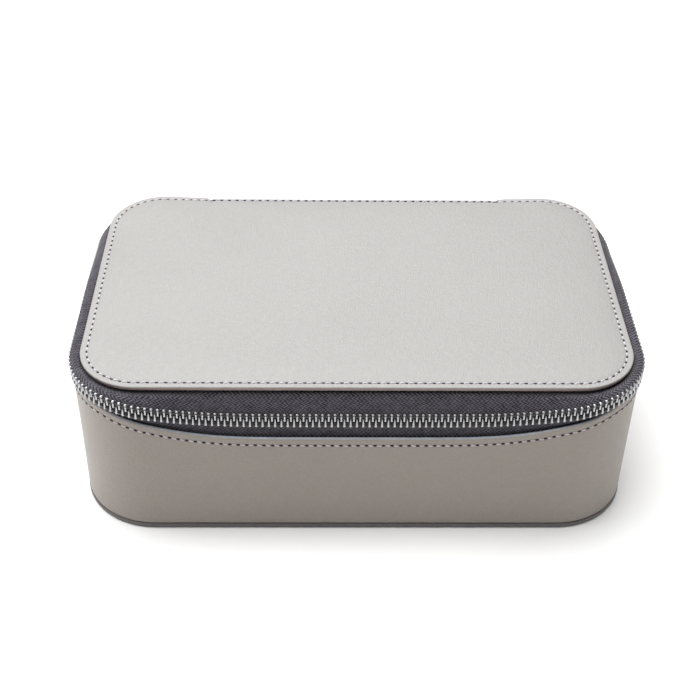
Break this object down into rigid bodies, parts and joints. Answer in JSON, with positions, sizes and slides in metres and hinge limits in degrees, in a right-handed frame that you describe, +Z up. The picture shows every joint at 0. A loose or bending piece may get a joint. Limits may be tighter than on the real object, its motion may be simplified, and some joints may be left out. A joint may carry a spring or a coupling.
{
  "type": "travel jewelry case",
  "caption": "Zip-round travel jewelry case with a stiff leather-covered box, flat hinged lid, metal zip, ring rolls, compartments, lid mirror and slip pocket.",
  "frame": {"origin": "on the floor, at the middle of the base panel's underside, under the middle of the leather body", "axes": "+X to the right along the case's width, +Y from the front to the hinge at the back, +Z up"},
  "size_m": [0.2322, 0.1549, 0.0716],
  "materials": {
    "leather": "satin fine-grained, warm light grey",
    "base_leather": "matte charcoal",
    "suede": "matte grey microsuede",
    "zip_tape": "charcoal herringbone tape",
    "zip_metal": "polished nickel",
    "elastic": "ribbed elastic",
    "mirror": "polished",
    "board": "pressed fibre board, hidden",
    "foam": "hidden foam"
  },
  "bodies": {
    "case": {"base_panel": "base_leather", "base_board": "board", "outer_wall": "leather", "wall_board": "board", "wall_lining": "suede", "floor_lining": "suede", "lower_zip_tape": "zip_tape", "lower_zip_teeth": "zip_metal", "zip_end_stops": "zip_metal", "hinge_strip": "leather", "hinge_lining": "suede", "ring_bed": "suede", "ring_roll_1": "suede", "ring_roll_2": "suede", "ring_roll_3": "suede", "ring_roll_4": "suede", "ring_roll_5": "suede", "ring_roll_6": "suede", "ring_roll_7": "suede", "ring_divider": "suede", "long_divider": "suede", "cross_divider": "suede"},
    "lid": {"lid_panel": "leather", "lid_padding": "foam", "lid_board": "board", "lid_lining": "suede", "lid_pocket": "suede", "pocket_hem": "elastic", "mirror_frame": "suede", "mirror_glass": "mirror", "upper_zip_tape": "zip_tape", "upper_zip_teeth": "zip_metal", "zip_end_left": "zip_tape", "zip_end_right": "zip_tape", "end_teeth_left": "zip_metal", "end_teeth_right": "zip_metal"},
    "slider": {"zip_slider": "zip_metal"},
    "pull": {"pull_link": "zip_metal", "pull_tab": "leather"}
  },
  "joints": [
    {"name": "lid_hinge", "type": "hinge", "parent": "case", "child": "lid", "pos_m": [0, 0.073, 0.064], "axis": [-1, 0, 0], "range_deg": [0, 100], "deforming": ["hinge_strip", "hinge_lining", "zip_end_left", "zip_end_right", "end_teeth_left", "end_teeth_right"]},
    {"name": "slider_travel", "type": "hinge", "parent": "case", "child": "slider", "pos_m": [0.083, 0.0425, 0.0605], "axis": [0, 0, -1], "range_deg": [0, 66]},
    {"name": "pull_swing", "type": "hinge", "parent": "slider", "child": "pull", "pos_m": [0.09068, 0.07864, 0.0605], "axis": [0.9781, -0.2079, 0], "range_deg": [-5, 130]}
  ]
}
